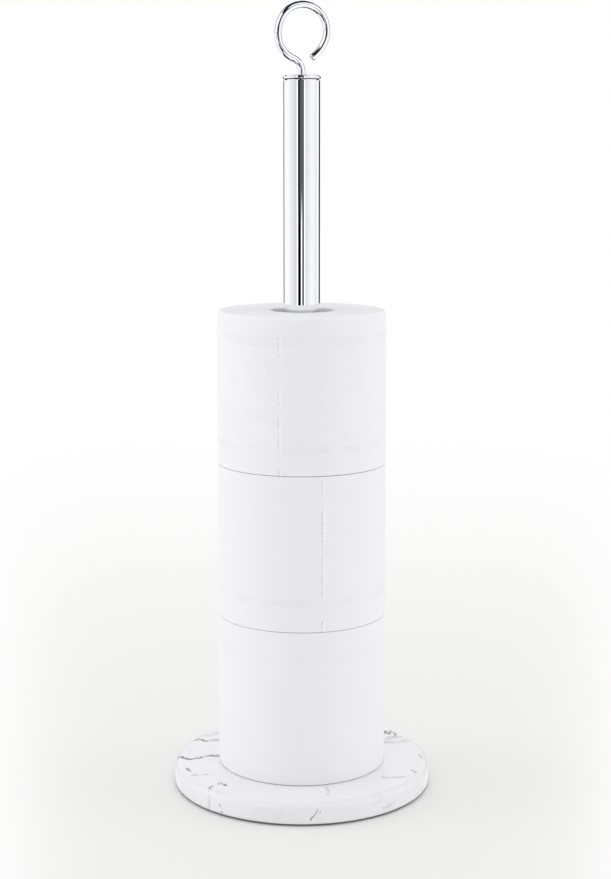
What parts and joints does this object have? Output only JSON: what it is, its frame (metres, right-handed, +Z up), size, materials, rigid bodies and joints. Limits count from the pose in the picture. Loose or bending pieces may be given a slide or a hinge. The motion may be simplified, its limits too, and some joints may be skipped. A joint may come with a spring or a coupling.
{
  "type": "toilet paper holder",
  "caption": "Freestanding holder for spare toilet rolls: round marble-look base, upright chromed pole with a bent-wire ring handle, and stacked rolls that lift off and turn.",
  "frame": {"origin": "on the pole's axis, in the plane that the stand rests on", "axes": "+Z up along the pole; the ring handle lies in the XZ plane with its free end on the +X side; Y runs through the ring"},
  "size_m": [0.179, 0.179, 0.5445],
  "materials": {
    "foam_pad": "closed-cell foam, matt",
    "cast_resin": "cast marble-look resin, satin, fine grey veins",
    "zinc_steel": "bright zinc plate",
    "chrome": "bright chrome plate, mirror polished",
    "core_board": "pale grey-brown board, spiral wound",
    "tissue": "soft white embossed tissue"
  },
  "bodies": {
    "stand": {"base_pad": "foam_pad", "base_disc": "cast_resin", "base_bolt": "zinc_steel", "bolt_washer": "zinc_steel", "spring_washer": "zinc_steel", "foot_plug": "zinc_steel", "lower_pole": "chrome", "joiner_socket": "zinc_steel", "joiner_stud": "zinc_steel", "upper_pole": "chrome", "pole_cap": "chrome", "ring_handle": "chrome", "handle_washer": "zinc_steel", "handle_nut": "zinc_steel"},
    "bottom_lift": {"bottom_core": "core_board"},
    "middle_lift": {"middle_core": "core_board"},
    "top_lift": {"top_core": "core_board"},
    "bottom_roll": {"bottom_paper": "tissue"},
    "middle_roll": {"middle_paper": "tissue"},
    "top_roll": {"top_paper": "tissue"}
  },
  "joints": [
    {"name": "bottom_roll_lift", "type": "slide", "parent": "stand", "child": "bottom_lift", "axis": [0, 0, 1], "range_m": [0, 0.538]},
    {"name": "middle_roll_lift", "type": "slide", "parent": "bottom_lift", "child": "middle_lift", "axis": [0, 0, 1], "range_m": [0, 0.432]},
    {"name": "top_roll_lift", "type": "slide", "parent": "middle_lift", "child": "top_lift", "axis": [0, 0, 1], "range_m": [0, 0.326]},
    {"name": "bottom_roll_turn", "type": "hinge", "parent": "bottom_lift", "child": "bottom_roll", "pos_m": [0, 0, 0.0694], "axis": [0, 0, 1], "continuous": true},
    {"name": "middle_roll_turn", "type": "hinge", "parent": "middle_lift", "child": "middle_roll", "pos_m": [0, 0, 0.1757], "axis": [0, 0, 1], "continuous": true},
    {"name": "top_roll_turn", "type": "hinge", "parent": "top_lift", "child": "top_roll", "pos_m": [0, 0, 0.282], "axis": [0, 0, 1], "continuous": true}
  ]
}
